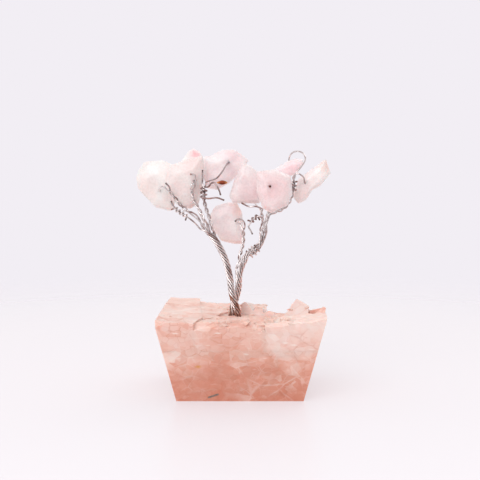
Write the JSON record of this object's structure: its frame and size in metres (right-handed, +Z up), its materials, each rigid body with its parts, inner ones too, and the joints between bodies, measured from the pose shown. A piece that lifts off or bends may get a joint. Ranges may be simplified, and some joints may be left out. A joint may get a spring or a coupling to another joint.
{
  "type": "gemstone tree ornament",
  "caption": "Small wire tree with drilled rose quartz chips as leaves, its twisted silver trunk cast into a flared block of crushed quartz and resin.",
  "frame": {"origin": "centre of the underside of the cast block, at table level", "axes": "+Z up along the trunk, -Y towards the viewer of the picture, +X to the viewer's right"},
  "size_m": [0.055, 0.0458, 0.067],
  "materials": {
    "resin": "clear cast resin, tinted by the crushed quartz in it",
    "crushed_quartz": "broken rose quartz, translucent",
    "tumbled_quartz": "tumbled pale rose quartz, translucent and polished",
    "craft_wire": "silver-coloured craft wire",
    "bare_copper": "hammered bare copper, browned",
    "dull_wire": "dull offcut of wire, cast in"
  },
  "bodies": {
    "tree": {"resin_block": "resin", "left_slab": "crushed_quartz", "rear_chunk": "crushed_quartz", "left_trunk_chip": "crushed_quartz", "front_chunk": "crushed_quartz", "front_right_chunk": "crushed_quartz", "right_corner_chip": "crushed_quartz", "right_peak_chip": "crushed_quartz", "right_side_chunk": "crushed_quartz", "trunk_rear_chip": "crushed_quartz", "rear_bump_chip": "crushed_quartz", "low_chip": "crushed_quartz", "front_wall_chips": "crushed_quartz", "rear_wall_chips": "crushed_quartz", "left_wall_chips": "crushed_quartz", "right_wall_chips": "crushed_quartz", "wire_offcut": "dull_wire", "far_left_wire": "craft_wire", "far_left_curl_wire": "craft_wire", "left_side_wire": "craft_wire", "inner_left_wire": "craft_wire", "inner_left_hook_wire": "craft_wire", "top_wire": "craft_wire", "upright_tip_wire": "craft_wire", "upper_left_wire": "craft_wire", "far_right_wire": "craft_wire", "upper_right_wire": "craft_wire", "centre_wire": "craft_wire", "centre_curl_wire": "craft_wire", "side_hook_wire": "craft_wire", "middle_wire": "craft_wire", "middle_arc_wire": "craft_wire", "front_right_wire": "craft_wire", "elbow_coil": "craft_wire", "left_side_coil": "craft_wire", "side_coil": "craft_wire", "knot_coil": "craft_wire", "upright_coil": "craft_wire", "copper_flake": "bare_copper"},
    "far_left_stone": {"far_left_stone": "tumbled_quartz"},
    "upper_left_stone": {"upper_left_stone": "tumbled_quartz"},
    "inner_left_stone": {"inner_left_stone": "tumbled_quartz"},
    "top_stone": {"top_stone": "tumbled_quartz"},
    "middle_stone": {"middle_stone": "tumbled_quartz"},
    "front_right_stone": {"front_right_stone": "tumbled_quartz"},
    "upper_right_stone": {"upper_right_stone": "tumbled_quartz"},
    "far_right_stone": {"far_right_stone": "tumbled_quartz"},
    "centre_stone": {"centre_stone": "tumbled_quartz"}
  },
  "joints": [
    {"name": "far_left_turn", "type": "hinge", "parent": "tree", "child": "far_left_stone", "pos_m": [-0.0226, 0.00818, 0.0556], "axis": [-0.0697, -0.9962, -0.0523], "range_deg": [-15, 15]},
    {"name": "upper_left_turn", "type": "hinge", "parent": "tree", "child": "upper_left_stone", "pos_m": [-0.014, 0.01337, 0.0615], "axis": [0.1043, -0.9921, 0.0698], "range_deg": [-15, 15]},
    {"name": "inner_left_turn", "type": "hinge", "parent": "tree", "child": "inner_left_stone", "pos_m": [-0.0129, 0.00319, 0.0584], "axis": [0, -0.9994, -0.0349], "range_deg": [-15, 15]},
    {"name": "top_turn", "type": "hinge", "parent": "tree", "child": "top_stone", "pos_m": [-0.0033, 0.00818, 0.0634], "axis": [0.0349, -0.9988, -0.0349], "range_deg": [-15, 15]},
    {"name": "middle_turn", "type": "hinge", "parent": "tree", "child": "middle_stone", "pos_m": [0.0015, 0.00289, 0.0577], "axis": [0, -0.9994, -0.0349], "range_deg": [-15, 15]},
    {"name": "front_right_turn", "type": "hinge", "parent": "tree", "child": "front_right_stone", "pos_m": [0.00789, -0.00487, 0.05729], "axis": [0.1386, -0.9865, 0.0872], "range_deg": [-15, 15]},
    {"name": "upper_right_turn", "type": "hinge", "parent": "tree", "child": "upper_right_stone", "pos_m": [0.0138, 0.00879, 0.0619], "axis": [-0.1043, -0.9921, -0.0698], "range_deg": [-15, 15]},
    {"name": "far_right_turn", "type": "hinge", "parent": "tree", "child": "far_right_stone", "pos_m": [0.0182, 0.00349, 0.058], "axis": [-0.0523, -0.9973, -0.0523], "range_deg": [-15, 15]},
    {"name": "centre_turn", "type": "hinge", "parent": "tree", "child": "centre_stone", "pos_m": [-0.00101, 0.00812, 0.0466], "axis": [0.0869, -0.9938, -0.0698], "range_deg": [-15, 15]}
  ]
}
